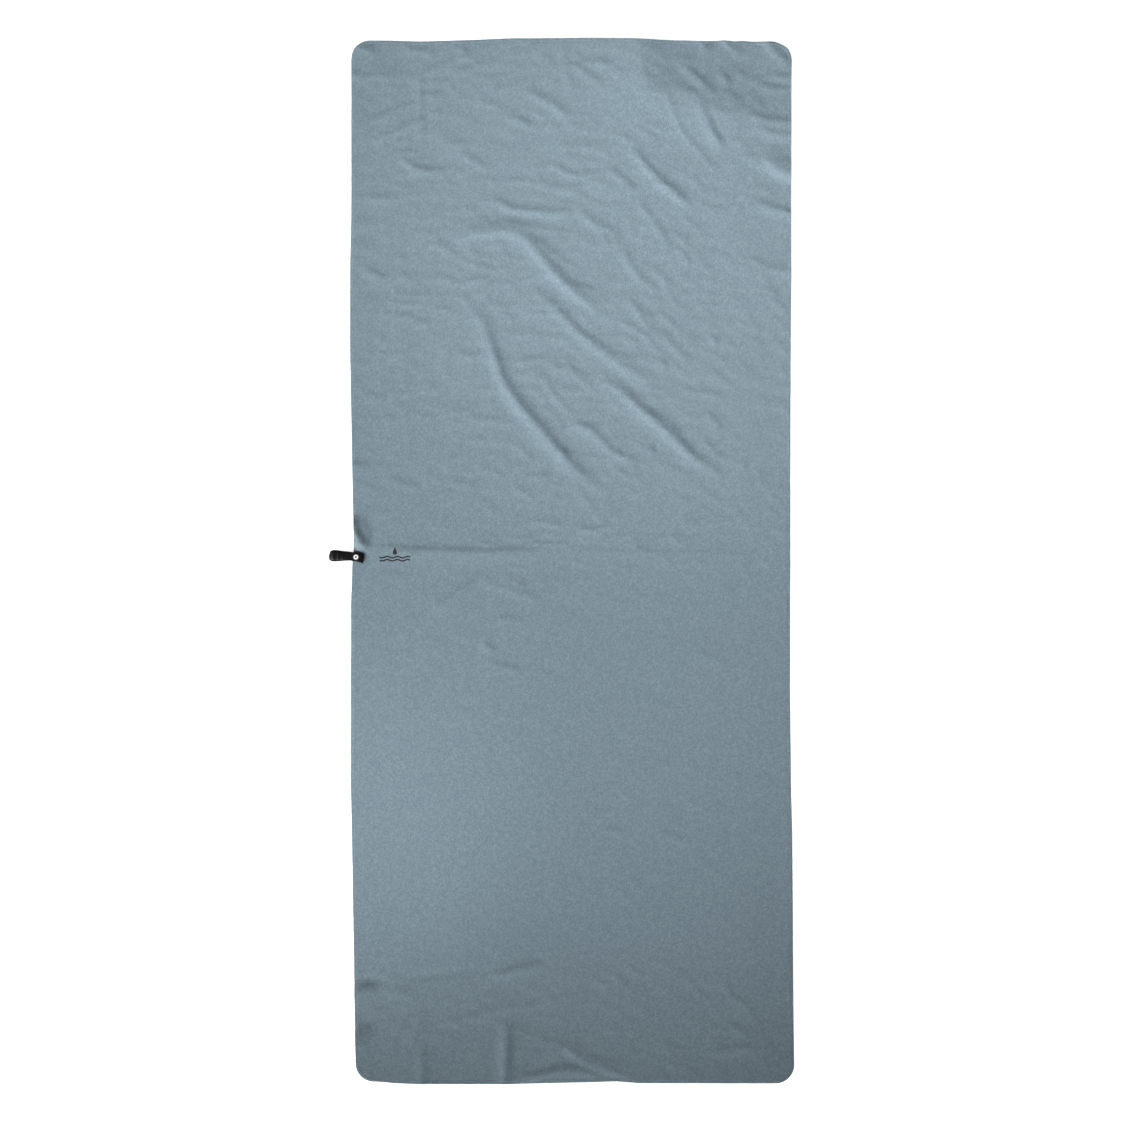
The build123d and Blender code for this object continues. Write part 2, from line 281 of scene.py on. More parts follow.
LOWER_FOLDS = [
    Fold([(-200, -75), (-176, -58), (-150, -39), (-126, -20)], 2.2, 8, 6),
    Fold([(-138, -22), (-108, -32), (-80, -41), (-32, -56)], 1.2, 6, 6),
    Fold([(-100, -22), (-78, -28), (-58, -35)], 1.1, 6, 5),
    Fold([(-236, -106), (-220, -92), (-206, -78)], 1.0, 5, 5),
    Fold([(-126, -113), (-104, -121)], 1.4, 6, 5),
    Fold([(162, -121), (190, -130), (216, -139)], 1.0, 7, 4),
    Fold([(-156, -203), (-130, -209)], 1.1, 6, 4),
    Fold([(-238, -170), (-246, -240)], 0.6, 6, 5),
    Fold([(28, -366), (60, -368), (90, -374)], 0.7, 6, 4),
    Fold([(110, -354), (130, -372), (172, -388)], 0.9, 6, 4),
    Fold([(168, -398), (190, -420), (210, -436)], 0.7, 6, 4),
    Fold([(72, -426), (99, -450)], 0.8, 6, 5),
    Fold([(-340, -566), (-296, -570), (-250, -570), (-200, -566), (-150, -560), (-110, -556)], -0.9, 6, 6),
    Fold([(-116, -568), (-88, -561), (-62, -554), (-32, -547)], 2.2, 7, 5),
    Fold([(-190, -637), (-150, -626), (-96, -613), (-54, -606), (-4, -604)], 1.0, 5, 8),
    Fold([(-76, -602), (-58, -582), (-50, -566)], 0.8, 5, 5),
    Fold([(-87, -612), (-90, -650), (-91, -690), (-91, -770)], 3.8, 8, 9),
    Fold([(-66, -694), (-32, -682), (-12, -665), (10, -679), (42, -693), (96, -708)], 2.2, 4, 14),
    Fold([(-92, -716), (-48, -702), (-8, -695), (26, -698), (52, -708)], 2.8, 7, 7),
    Fold([(-202, -600), (-213, -640), (-228, -668), (-252, -684)], 1.2, 4, 8),
    Fold([(-206, -650), (-204, -690), (-202, -750)], 1.7, 7, 6),
    Fold([(186, -676), (212, -668), (252, -664)], 1.4, 5, 5),
    Fold([(208, -620), (228, -640), (246, -650)], 1.1, 6, 5),
]
# Zones of small creases: (lowest Y, highest Y, how many, middling height)
CREASED_ZONES = [
    (20, 700, 380, 0.52), (-160, 20, 50, 0.28), (-560, -160, 70, 0.22), (-700, -560, 80, 0.35),
]
CREASE_SEED = 27
CREASE_LENGTHS = (14, 62)
CREASE_NEAR_WIDTHS = (3.5, 6)
CREASE_FAR_WIDTHS = (3, 4.5)
FOLDS = LONG_FOLDS + UPPER_FOLDS + CORNER_FOLDS + EDGE_PUCKERS + PACKING_CREASE + LOWER_FOLDS


# ---------------------------------------------------------------- small maths


def smooth_step(t):
    """An eased step from 0 to 1 as t goes from 0 to 1."""
    t = np.clip(t, 0, 1)
    return t * t * (3 - 2 * t)


def wander(at, points):
    """The offset at each place along an edge, from a list of (place, offset)."""
    places, offsets = zip(*points)
    return np.interp(at, places, offsets)


def smooth_noise(x, y, across, along, seed):
    """Soft noise from -1 to 1 whose lumps are about across by along."""
    rng = np.random.default_rng(seed)
    lattice = rng.uniform(-1, 1, (256, 256))
    u, v = x / across, y / along
    i, j = np.floor(u).astype(int), np.floor(v).astype(int)
    a, b = smooth_step(u - i), smooth_step(v - j)
    i0, i1, j0, j1 = i % 256, (i + 1) % 256, j % 256, (j + 1) % 256
    low = lattice[i0, j0] * (1 - a) + lattice[i1, j0] * a
    high = lattice[i0, j1] * (1 - a) + lattice[i1, j1] * a
    return low * (1 - b) + high * b


def smooth_path(points, step):
    """A Catmull-Rom curve through the points, resampled at an even step."""
    p = np.array(points, float)
    ends = np.vstack([2 * p[0] - p[1], p, 2 * p[-1] - p[-2]])
    t = np.linspace(0, 1, 24, endpoint=False)[:, None]
    spans = []
    for a, b, c, d in zip(ends, ends[1:], ends[2:], ends[3:]):
        cubic = -a + 3 * b - 3 * c + d
        square = 2 * a - 5 * b + 4 * c - d
        spans.append(b + 0.5 * ((c - a) * t + square * t**2 + cubic * t**3))
    curve = np.vstack([*spans, p[-1:]])
    run = np.concatenate([[0], np.cumsum(np.linalg.norm(np.diff(curve, axis=0), axis=1))])
    at = np.linspace(0, run[-1], max(2, round(run[-1] / step) + 1))
    return np.stack([np.interp(at, run, curve[:, k]) for k in range(p.shape[1])], axis=1)


# ---------------------------------------------------------------- the towel's shape


def fold_height(x, y, fold):
    """The height that one fold adds at each point."""
    line = smooth_path(fold.line, 3.0)
    reach = 3.5 * max(fold.near, fold.far)
    inside = (
        (x > line[:, 0].min() - reach) & (x < line[:, 0].max() + reach)
        & (y > line[:, 1].min() - reach) & (y < line[:, 1].max() + reach)
    )
    height = np.zeros_like(x)
    px, py = x[inside], y[inside]
    if not len(px):
        return height
    away_x = px[:, None] - line[None, :, 0]
    away_y = py[:, None] - line[None, :, 1]
    nearest = np.argmin(away_x**2 + away_y**2, axis=1)
    rows = np.arange(len(px))
    along = np.gradient(line, axis=0)
    side = along[nearest, 0] * away_y[rows, nearest] - along[nearest, 1] * away_x[rows, nearest]
    distance = np.hypot(away_x[rows, nearest], away_y[rows, nearest])
    width = np.where(side > 0, fold.far, fold.near)
    part = nearest / (len(line) - 1)
    taper = smooth_step(part / 0.3) * smooth_step((1 - part) / 0.3)
    height[inside] = fold.height * taper * np.exp(-((distance / width) ** fold.sharpness))
    return height


def scattered_creases():
    """Short shallow creases all over the cloth: level at the left, slanting down at the right."""
    rng = np.random.default_rng(CREASE_SEED)
    creases = []
    for low, high, count, height in CREASED_ZONES:
        for _ in range(count):
            x = rng.uniform(-HALF_WIDTH, HALF_WIDTH)
            y = rng.uniform(low, high)
            lean = -6 - 36 * smooth_step((x + 40) / 240) + rng.normal(0, 10)
            bend = rng.normal(0, 12)
            length = rng.uniform(*CREASE_LENGTHS)
            line = []
            for part in (-0.5, -0.17, 0.17, 0.5):
                turn = math.radians(lean + bend * part)
                line.append((x + length * part * math.cos(turn), y + length * part * math.sin(turn)))
            rise = height * rng.lognormal(0, 0.5)
            near = rng.uniform(*CREASE_NEAR_WIDTHS)
            far = rng.uniform(*CREASE_FAR_WIDTHS)
            creases.append(Fold(line, rise, near, far))
    return creases


def turned(x, y, degrees):
    """The points in axes turned by an angle."""
    c, s = math.cos(math.radians(degrees)), math.sin(math.radians(degrees))
    return x * c + y * s, y * c - x * s


def crumple(x, y):
    """Small creases left from being packed: mostly level, some slanting down to the right."""
    u, v = turned(x, y, -9)
    p, q = turned(x, y, -38)
    level = 1 - np.abs(smooth_noise(u, v, 60, 19, 13) + 0.4 * smooth_noise(u, v, 25, 9, 14))
    slanting = 1 - np.abs(smooth_noise(p, q, 48, 22, 15) + 0.3 * smooth_noise(p, q, 20, 12, 16))
    grain = smooth_noise(u, v, 9, 6.5, 17)
    return 0.55 * level + 0.5 * slanting + 0.08 * grain


def from_strap(x, y):
    """Distance outside the footprint of the strap's sewn end."""
    c, s = math.cos(LOOP_TURN), math.sin(LOOP_TURN)
    along = (x - SNAP_X) * c + (y - SNAP_Y) * s
    across = (y - SNAP_Y) * c - (x - SNAP_X) * s
    out_along = np.maximum(np.maximum(FOOTPRINT_LOW[0] - along, along - FOOTPRINT_HIGH[0]), 0)
    out_across = np.maximum(np.maximum(FOOTPRINT_LOW[1] - across, across - FOOTPRINT_HIGH[1]), 0)
    return np.hypot(out_along, out_across)


def cloth_height(x, y):
    """How far the underside of the cloth stands off the floor."""
    swell = 0.8 + 0.5 * smooth_noise(x, y, 150, 190, 11) + 0.3 * smooth_noise(x, y, 60, 70, 12)
    inset = np.minimum(HALF_WIDTH - np.abs(x), HALF_LENGTH - np.abs(y))
    swell = swell * (0.25 + 0.75 * smooth_step(inset / 70))
    crumpled = 0.3 + 0.7 * smooth_step((y - 20) / 120) + 0.35 * smooth_step((-540 - y) / 60)
    height = swell + crumpled * crumple(x, y)
    for fold in FOLDS + scattered_creases():
        height = height + fold_height(x, y, fold)
    return np.maximum(height, 0) * smooth_step(from_strap(x, y) / FOOTPRINT_MARGIN)


def laid_out(x, y):
    """Where a point of the straight CAD outline's plane really lies on the towel: x, y and height."""
    across = (x + HALF_WIDTH) / (2 * HALF_WIDTH)
    along = (y + HALF_LENGTH) / (2 * HALF_LENGTH)
    dx = wander(y, LEFT_WANDER) * (1 - across) + wander(y, RIGHT_WANDER) * across
    dy = wander(x, BOTTOM_WANDER) * (1 - along) + wander(x, TOP_WANDER) * along
    from_top = np.abs(HALF_LENGTH - y)
    ripple = np.exp(-from_top / RIPPLE_DEPTH) * smooth_step((x - RIPPLE_START_X) / RIPPLE_EASE_IN)
    dy = dy - RIPPLE_HEIGHT * ripple * smooth_noise(x, 0 * x, RIPPLE_LENGTH, 10, 21)
    return x + dx, y + dy, cloth_height(x + dx, y + dy)


def even_steps(low, high, spacing):
    """Places from low up to just before high, an even number of them about a spacing apart."""
    return np.linspace(low, high, 2 * round((high - low) / spacing / 2), endpoint=False)


def grid_lines():
    """Columns and rows of the inner rectangle, closer together beside the loop."""
    half_x = HALF_WIDTH - CORNER_RADIUS
    half_y = HALF_LENGTH - CORNER_RADIUS
    low, high = LOOP_ROWS
    columns = [even_steps(-half_x, half_x, GRID_SPACING), [half_x]]
    rows = [
        even_steps(-half_y, low, GRID_SPACING),
        even_steps(low, high, LOOP_ROW_SPACING),
        even_steps(high, half_y, GRID_SPACING),
        [half_y],
    ]
    return np.concatenate(columns), np.concatenate(rows)


def rim_cells(columns, rows, corner_steps):
    """The rim of a grid, counterclockwise: column, row and outward angle, fanned out at corners."""
    last_column, last_row = len(columns) - 1, len(rows) - 1
    sides = [
        ([(c, 0) for c in range(last_column + 1)], -90),
        ([(last_column, r) for r in range(last_row + 1)], 0),
        ([(c, last_row) for c in range(last_column, -1, -1)], 90),
        ([(0, r) for r in range(last_row, -1, -1)], 180),
    ]
    rim = []
    for cells, facing in sides:
        rim += [(c, r, math.radians(facing)) for c, r in cells]
        for step in range(1, corner_steps):
            turn = facing + 90 * step / corner_steps
            rim.append((*cells[-1], math.radians(turn)))
    return rim


# ---------------------------------------------------------------- meshes


def new_mesh(name, points, faces, material):
    """A smooth shaded mesh object from points in millimetres."""
    mesh = bpy.data.meshes.new(name)
    mesh.from_pydata((np.asarray(points) * METRE).tolist(), [], faces)
    mesh.polygons.foreach_set("use_smooth", [True] * len(mesh.polygons))
    mesh.materials.append(material)
    mesh.update()
    piece = bpy.data.objects.new(name, mesh)
    bpy.context.scene.collection.objects.link(piece)
    return piece


def thread_ring(path, radius, sides):
    """Points and faces of a round thread along a closed path of points."""
    path = np.asarray(path, float)
    count = len(path)
    ahead = np.roll(path, -1, axis=0) - np.roll(path, 1, axis=0)
    ahead /= np.linalg.norm(ahead, axis=1)[:, None]
    side = np.cross(ahead, [0, 0, 1.0])
    side /= np.linalg.norm(side, axis=1)[:, None]
    up = np.cross(side, ahead)
    angle = 2 * np.pi * np.arange(sides) / sides
    ring = side[:, None] * np.cos(angle)[:, None] + up[:, None] * np.sin(angle)[:, None]
    points = (path[:, None] + radius * ring).reshape(-1, 3)
    faces = []
    for i in range(count):
        a, b = i * sides, ((i + 1) % count) * sides
        for k in range(sides):
            n = (k + 1) % sides
            faces.append((a + k, a + n, b + n, b + k))
    return points, faces


def cloth_layer(columns, rows, corner_steps, insets):
    """One face of the sheet: plane points, how far each is inset, faces, and the outermost ring."""
    grid_x, grid_y = np.meshgrid(columns, rows, indexing="ij")
    rim = rim_cells(columns, rows, corner_steps)
    rim_x = columns[[c for c, _, _ in rim]]
    rim_y = rows[[r for _, r, _ in rim]]
    facing = np.array([f for _, _, f in rim])
    plane = [np.stack([grid_x.ravel(), grid_y.ravel()], axis=1)]
    inset = [np.full(grid_x.size, CORNER_RADIUS)]
    rings = [[c * len(rows) + r for c, r, _ in rim]]
    for depth in sorted(insets, reverse=True):
        out = CORNER_RADIUS - depth
        start = sum(len(part) for part in plane)
        plane.append(np.stack([rim_x + out * np.cos(facing), rim_y + out * np.sin(facing)], axis=1))
        inset.append(np.full(len(rim), depth))
        rings.append(list(range(start, start + len(rim))))
    faces = []
    for c in range(len(columns) - 1):
        for r in range(len(rows) - 1):
            a = c * len(rows) + r
            b = a + len(rows)
            faces.append((a, b, b + 1, a + 1))
    for inside, outside in zip(rings, rings[1:]):
        for i in range(len(rim)):
            n = (i + 1) % len(rim)
            face = (inside[i], outside[i], outside[n], inside[n])
            faces.append(face[:3] if inside[i] == inside[n] else face)
    return np.vstack(plane), np.concatenate(inset), faces, rings[-1]


def towel_cloth(material):
    """The two sided sheet. Its underside, on the floor, has one point to every two of the top's."""
    columns, rows = grid_lines()
    plane, inset, faces, rim = cloth_layer(columns, rows, CORNER_STEPS, TOP_RINGS)
    x, y, z = laid_out(plane[:, 0], plane[:, 1])
    squeeze = np.where(inset < BAND_WIDTH, BORDER_SQUEEZE, 0)
    top = np.stack([x, y, z + CLOTH_TOP - squeeze], axis=1)
    plane, inset, under, under_rim = cloth_layer(
        columns[::2], rows[::2], CORNER_STEPS // 2, BOTTOM_RINGS
    )
    x, y, z = laid_out(plane[:, 0], plane[:, 1])
    for step_x, step_y in [(1, 0), (-1, 0), (0, 1), (0, -1)]:
        z = np.minimum(z, cloth_height(x + step_x * GRID_SPACING, y + step_y * GRID_SPACING))
    squeeze = np.where(inset < BAND_WIDTH, BORDER_SQUEEZE, 0)
    bottom = np.stack([x, y, z + CLOTH_BOTTOM + squeeze / 2], axis=1)
    count = len(top)
    faces += [tuple(count + v for v in reversed(face)) for face in under]
    for i, below in enumerate(under_rim):
        below_next = under_rim[(i + 1) % len(under_rim)]
        above = [rim[(2 * i + k) % len(rim)] for k in (2, 1, 0)]
        faces.append((*above, count + below, count + below_next))
    return new_mesh("towel_cloth", np.vstack([top, bottom]), faces, material)


def stitch_frame():
    """The length of the nominal outline, and how many stitches go round it."""
    straight_x = 2 * (HALF_WIDTH - CORNER_RADIUS)
    straight_y = 2 * (HALF_LENGTH - CORNER_RADIUS)
    arc = math.pi / 2 * CORNER_RADIUS
    total = 2 * straight_x + 2 * straight_y + 4 * arc
    count = round(total / STITCH_PITCH)
    return total, count


def outline_at(distance):
    """Points of the nominal outline and their inward directions, counterclockwise from lower left."""
    half_x = HALF_WIDTH - CORNER_RADIUS
    half_y = HALF_LENGTH - CORNER_RADIUS
    arc = math.pi / 2 * CORNER_RADIUS
    x, y = np.zeros_like(distance), np.zeros_like(distance)
    facing = np.zeros_like(distance)
    corners = [(half_x, -half_y), (half_x, half_y), (-half_x, half_y), (-half_x, -half_y)]
    start = 0.0
    for k, (cx, cy) in enumerate(corners):
        length = 2 * (half_x if k % 2 == 0 else half_y)
        face = math.radians(-90 + 90 * k)
        run = (math.cos(face + math.pi / 2), math.sin(face + math.pi / 2))
        on_side = (distance >= start) & (distance < start + length)
        back = start + length - distance[on_side]
        x[on_side] = cx + CORNER_RADIUS * math.cos(face) - run[0] * back
        y[on_side] = cy + CORNER_RADIUS * math.sin(face) - run[1] * back
        facing[on_side] = face
        start += length
        on_arc = (distance >= start) & (distance < start + arc)
        turn = face + (distance[on_arc] - start) / CORNER_RADIUS
        x[on_arc] = cx + CORNER_RADIUS * np.cos(turn)
        y[on_arc] = cy + CORNER_RADIUS * np.sin(turn)
        facing[on_arc] = turn
        start += arc
    return x, y, -np.cos(facing), -np.sin(facing)


def edge_thread(name, stitch, lean, seed, material):
    """One overlock thread: the same stitch of (advance, inset, height) repeated all round the edge.

    Advance counts in stitches, inset is from the outline, height is over the cloth's underside,
    lean is how far the thread strays in or out, and seed sets where it does.
    """
    total, count = stitch_frame()
    pitch = total / count
    stitch = np.array(stitch, float)
    advance = (np.arange(count)[:, None] + stitch[None, :, 0]).ravel() * pitch
    inset = np.tile(stitch[:, 1], count)
    height = np.tile(stitch[:, 2], count)
    inset = inset + lean * smooth_noise(advance, 0 * advance, 5, 5, seed)
    x, y, in_x, in_y = outline_at(np.mod(advance, total))
    x, y, z = laid_out(x + in_x * inset, y + in_y * inset)
    path = np.stack([x, y, z + height], axis=1)
    return new_mesh(name, *thread_ring(path, EDGE_THREAD_RADIUS, EDGE_THREAD_SIDES), material)


def overlocked_edge(material):
    """Needle thread, upper looper and lower looper, interlocked at the needle line and at the edge."""
    upper = [
        (0.06, 3.9, 0.66), (0.14, 2.6, 0.68), (0.22, 0.9, 0.68), (0.32, -0.15, 0.52),
        (0.68, -0.15, 0.52), (0.78, 0.9, 0.68), (0.86, 2.6, 0.68), (0.94, 3.9, 0.66),
    ]
    lower = [
        (0.42, 3.6, 0.22), (0.50, 1.8, 0.22), (0.60, 0.2, 0.24), (0.80, -0.35, 0.4),
        (1.20, -0.35, 0.4), (1.30, 0.2, 0.24), (1.36, 1.8, 0.22), (1.40, 3.6, 0.22),
    ]
    needle = [(0.02, 3.75, 0.56), (0.18, 3.8, 0.8), (0.80, 3.85, 0.8), (0.96, 3.8, 0.56)]
    return [
        (edge_thread("edge_upper_looper", upper, 0.12, 17, material), "edge_upper_looper_thread"),
        (edge_thread("edge_lower_looper", lower, 0.12, 17, material), "edge_lower_looper_thread"),
        (edge_thread("edge_needle", needle, 0.05, 11, material), "edge_needle_thread"),
    ]


# ---------------------------------------------------------------- the loop


def at_loop(points):
    """Points from the loop's frame, with the snap as origin, to the row frame."""
    p = np.asarray(points, float)
    c, s = math.cos(LOOP_TURN), math.sin(LOOP_TURN)
    x = SNAP_X + p[:, 0] * c - p[:, 1] * s
    y = SNAP_Y + p[:, 0] * s + p[:, 1] * c
    return np.stack([x, y, p[:, 2]], axis=1)


def rumples(along):
    """The height of the creases across the free leg of the webbing."""
    rumpled = 0
    for middle, height, width in STRAP_CREASES:
        rumpled = rumpled + height * np.exp(-(((along - middle) / width) ** 2))
    return rumpled


def strap_path():
    """The webbing's middle line, from its sewn end round the fold to its free end: x, y shift and z."""
    sewn = [
        (9.5, -1.3, 1.37), (4, -0.5, 1.37), (-4, 0.2, 1.37), (-8, 0.2, 1.33), (-12.5, -0.2, 0.95),
        (-17, -0.7, 0.56), (-23, -1.3, 0.5), (-28.5, -1.8, 0.5),
    ]
    fold = []
    for turn in range(270, 89, -30):
        angle = math.radians(turn)
        shift = -2.0 + 2.2 * (270 - turn) / 180
        x = FOLD_X + FOLD_RADIUS * math.cos(angle)
        fold.append((x, shift, FOLD_Z + FOLD_RADIUS * math.sin(angle)))
    free = [
        (-28, 0.4, 8.4), (-24, 0.6, 8.0), (-20.5, 0.7, 7.55), (-17.5, 0.7, 7.1), (-12, 0.8, 6.15),
        (-6.5, 0.6, 5.22), (-3.5, 0.4, 5.02), (0, 0.0, 5.0), (4, -0.5, 4.98), (7.3, -1.1, 4.55),
        (10.3, -1.9, 3.75),
    ]
    return smooth_path(sewn + fold + free, STRAP_STEP)


def strap_section():
    """The webbing's rounded cross section: (share across, share up, rib share)."""
    flat = [-0.94, -0.8, -0.6, -0.4, -0.2, 0.0, 0.2, 0.4, 0.6, 0.8, 0.94]
    top = [(a, 1.0, 1.0) for a in flat]
    bottom = [(-a, -1.0, 1.0) for a in flat]
    right = [(0.985, 0.7, 0.4), (1.0, 0.0, 0.0), (0.985, -0.7, 0.4)]
    left = [(-a, -u, rib) for a, u, rib in right]
    return top + right + bottom + left


def loop_strap(material):
    """One length of ribbed webbing, folded into the loop, its edges curling down on the free leg."""
    path = strap_path()
    count = len(path)
    ahead = np.gradient(path[:, [0, 2]], axis=0)
    ahead /= np.linalg.norm(ahead, axis=1)[:, None]
    outward = np.stack([ahead[:, 1], 0 * ahead[:, 0], -ahead[:, 0]], axis=1)
    run = np.arange(count) * STRAP_STEP
    rib = 0.5 - 0.5 * np.cos(2 * np.pi * run / RIB_PITCH)
    sealed = smooth_step(np.minimum(run, run[-1] - run) / 1.2)
    half = STRAP_WIDTH / 2 * (0.96 + 0.04 * sealed)
    half = half + FOLD_WIDENING * np.exp(-(((path[:, 0] + 29) / 8) ** 2))
    free = smooth_step((path[:, 2] - 5.5) / 2)
    near_fold = smooth_step((-25 - path[:, 0]) / 10)
    points = []
    for across, rise, share in strap_section():
        thick = STRAP_THICKNESS / 2 * rise * (0.8 + 0.2 * sealed)
        relief = np.sign(rise) * share * RIB_HEIGHT * (rib - 1) * sealed
        curl = -STRAP_CURL * free * abs(across) ** 3
        rumple = free * rumples(path[:, 0]) * smooth_step((0.85 - across) / 0.5)
        slant = near_fold * (FOLD_SLANT * across + FOLD_PINCH * smooth_step(-across - 0.2))
        middle = np.stack([path[:, 0] + slant, path[:, 1] + across * half, path[:, 2]], axis=1)
        points.append(middle - outward * (thick + relief + curl + rumple)[:, None])
    ring = len(points)
    points = at_loop(np.stack(points, axis=1).reshape(-1, 3))
    faces = []
    for i in range(count - 1):
        for k in range(ring):
            n = (k + 1) % ring
            a, b = i * ring, (i + 1) * ring
            faces.append((a + k, b + k, b + n, a + n))
    faces.append(tuple(range(ring)))
    faces.append(tuple((count - 1) * ring + k for k in reversed(range(ring))))
    return new_mesh("loop_strap", points, faces, material)


def tack_stitches(material):
    """A box of stitches through the strap's sewn end and the towel, seen on both sides."""
    corners = [
        (TACK_LEFT, -TACK_HALF), (TACK_LEFT, TACK_HALF), (TACK_RIGHT, TACK_HALF), (TACK_RIGHT, -TACK_HALF),
    ]
    points, faces = [], []
    for height, lift in TACK_LAYERS:
        path = []
        for (ax, ay), (bx, by) in zip(corners, corners[1:] + corners[:1]):
            length = math.hypot(bx - ax, by - ay)
            stitches = max(1, round(length / TACK_STITCH))
            for k in range(stitches * 6):
                t = k / (stitches * 6)
                bow = abs(math.sin(math.pi * t * stitches))
                path.append((ax + (bx - ax) * t, ay + (by - ay) * t, height + lift * bow))
        p, f = thread_ring(path, TACK_THREAD_RADIUS, TACK_THREAD_SIDES)
        faces += [tuple(v + len(points) for v in face) for face in f]
        points += p.tolist()
    return new_mesh("tack_stitches", at_loop(points), faces, material)


def cap_enamel(material):
    """A dot of dark enamel in the dimple of the snap's cap."""
    profile = [(ENAMEL_RADIUS, ENAMEL_LOW), (ENAMEL_RADIUS + ENAMEL_HIGH - ENAMEL_LOW, ENAMEL_HIGH)]
    return lathe("cap_enamel", profile, 40, material)


def lathe(name, profile, sides, material):
    """A turned piece about the snap's axis from a list of (radius, height)."""
    angle = 2 * np.pi * np.arange(sides) / sides
    points, faces = [], []
    for radius, height in profile:
        for a in angle:
            points.append((radius * math.cos(a), radius * math.sin(a), height))
    for j in range(len(profile) - 1):
        for k in range(sides):
            n = (k + 1) % sides
            a, b = j * sides, (j + 1) * sides
            faces.append((a + k, a + n, b + n, b + k))
    faces.append(tuple(reversed(range(sides))))
    faces.append(tuple((len(profile) - 1) * sides + k for k in range(sides)))
    return new_mesh(name, at_loop(points), faces, material)


# ---------------------------------------------------------------- the print


def drop_outline():
    """A drop: a round belly and two straight sides up to its tip, above the print's centre."""
    opening = math.acos(DROP_RADIUS / DROP_TIP)
    start = math.pi / 2 + opening
    sweep = 2 * math.pi - 2 * opening
    outline = [(0.0, DROP_TIP + WAVE_GAP)]
    for k in range(33):
        turn = start + sweep * k / 32
        outline.append((DROP_RADIUS * math.cos(turn), DROP_RADIUS * math.sin(turn) + WAVE_GAP))
    return outline


def drop_strip(outline, levels):
    """The drop as a left and a right side with points at the same heights."""
    sides = []
    ends = np.roll(outline, -1, axis=0)
    for level in levels:
        crossings = [
            ax + (bx - ax) * (level - ay) / (by - ay)
            for (ax, ay), (bx, by) in zip(outline, ends)
            if (ay - level) * (by - level) <= 0 and ay != by
        ]
        sides.append(((min(crossings), level), (max(crossings), level)))
    return np.array(sides)[:, 0], np.array(sides)[:, 1]


def wave_strip(middle_y):
    """One wave line as an upper and a lower side."""
    x = np.linspace(-WAVE_REACH, WAVE_REACH, 145)
    turn = 2 * math.pi / WAVE_LENGTH
    slope = turn * np.cos(x * turn)
    size = np.sqrt(1 + slope**2)
    across = WAVE_STROKE / 2 * np.stack([-slope / size, 1 / size], axis=1)
    middle = np.stack([x, np.sin(x * turn) + middle_y], axis=1)
    return middle + across, middle - across


def print_motif(cloth, material):
    """A thin film of ink laid on the cloth's own faces: each shape is a strip of small cells."""
    outline = np.array(drop_outline())
    low, high = outline[:, 1].min(), outline[:, 1].max()
    strips = [drop_strip(outline, np.linspace(low + 0.001, high - 0.001, 40))]
    strips += [wave_strip(-WAVE_GAP / 2), wave_strip(-WAVE_GAP * 1.5)]
    surface = BVHTree.FromPolygons(
        [v.co for v in cloth.data.vertices], [p.vertices for p in cloth.data.polygons]
    )
    points, faces = [], []
    for one, other in strips:
        start = len(points)
        for a, b in zip(one, other):
            for k in range(INK_CELLS + 1):
                x, y = a + (b - a) * k / INK_CELLS
                above = Vector((PRINT_X + x, PRINT_Y + y, 100)) * METRE
                hit = surface.ray_cast(above, Vector((0, 0, -1)))[0]
                points.append((*(np.array(hit[:2]) / METRE), hit[2] / METRE + INK_FILM))
        for i in range(len(one) - 1):
            for k in range(INK_CELLS):
                a = start + i * (INK_CELLS + 1) + k
                b = a + INK_CELLS + 1
                faces.append((a, b, b + 1, a + 1))
    return new_mesh("print_ink", points, faces, material)


# ---------------------------------------------------------------- materials


def new_material(name, colour, roughness, metallic=0.0):
    """A Principled material with constant values, and its node tree."""
    material = bpy.data.materials.new(name)
    material.use_nodes = True
    shader = material.node_tree.nodes["Principled BSDF"]
    shader.inputs["Base Color"].default_value = (*colour, 1)
    shader.inputs["Roughness"].default_value = roughness
    shader.inputs["Metallic"].default_value = metallic
    return material, material.node_tree, shader


def noise_texture(tree, size, detail, stretch=1.0, level=False):
    """Noise fixed to the object, with lumps about size millimetres across and stretched along Y.

    Level noise takes one slice for all heights, so that a nearly flat piece has it everywhere alike.
    """
    place = tree.nodes.new("ShaderNodeTexCoord")
    mapping = tree.nodes.new("ShaderNodeMapping")
    mapping.inputs["Scale"].default_value = (1, 1 / stretch, 0 if level else 1)
    mapping.inputs["Location"].default_value = (0, 0, 0.37 * size * METRE)
    noise = tree.nodes.new("ShaderNodeTexNoise")
    noise.inputs["Scale"].default_value = 1 / (size * METRE)
    noise.inputs["Detail"].default_value = detail
    tree.links.new(place.outputs["Object"], mapping.inputs["Vector"])
    tree.links.new(mapping.outputs["Vector"], noise.inputs["Vector"])
    return noise.outputs["Fac"]


def colour_ramp(tree, factor, stops):
    """A ramp from (position, colour) stops."""
    ramp = tree.nodes.new("ShaderNodeValToRGB")
    ramp.color_ramp.elements[0].position = stops[0][0]
    ramp.color_ramp.elements[0].color = (*stops[0][1], 1)
    ramp.color_ramp.elements[1].position = stops[-1][0]
    ramp.color_ramp.elements[1].color = (*stops[-1][1], 1)
    for position, colour in stops[1:-1]:
        stop = ramp.color_ramp.elements.new(position)
        stop.color = (*colour, 1)
    tree.links.new(factor, ramp.inputs["Fac"])
    return ramp.outputs["Color"]


def multiplied(tree, one, other):
    """Two colours multiplied."""
    mix = tree.nodes.new("ShaderNodeMix")
    mix.data_type = "RGBA"
    mix.blend_type = "MULTIPLY"
    mix.inputs["Factor"].default_value = 1
    tree.links.new(one, mix.inputs["A"])
    tree.links.new(other, mix.inputs["B"])
    return mix.outputs["Result"]


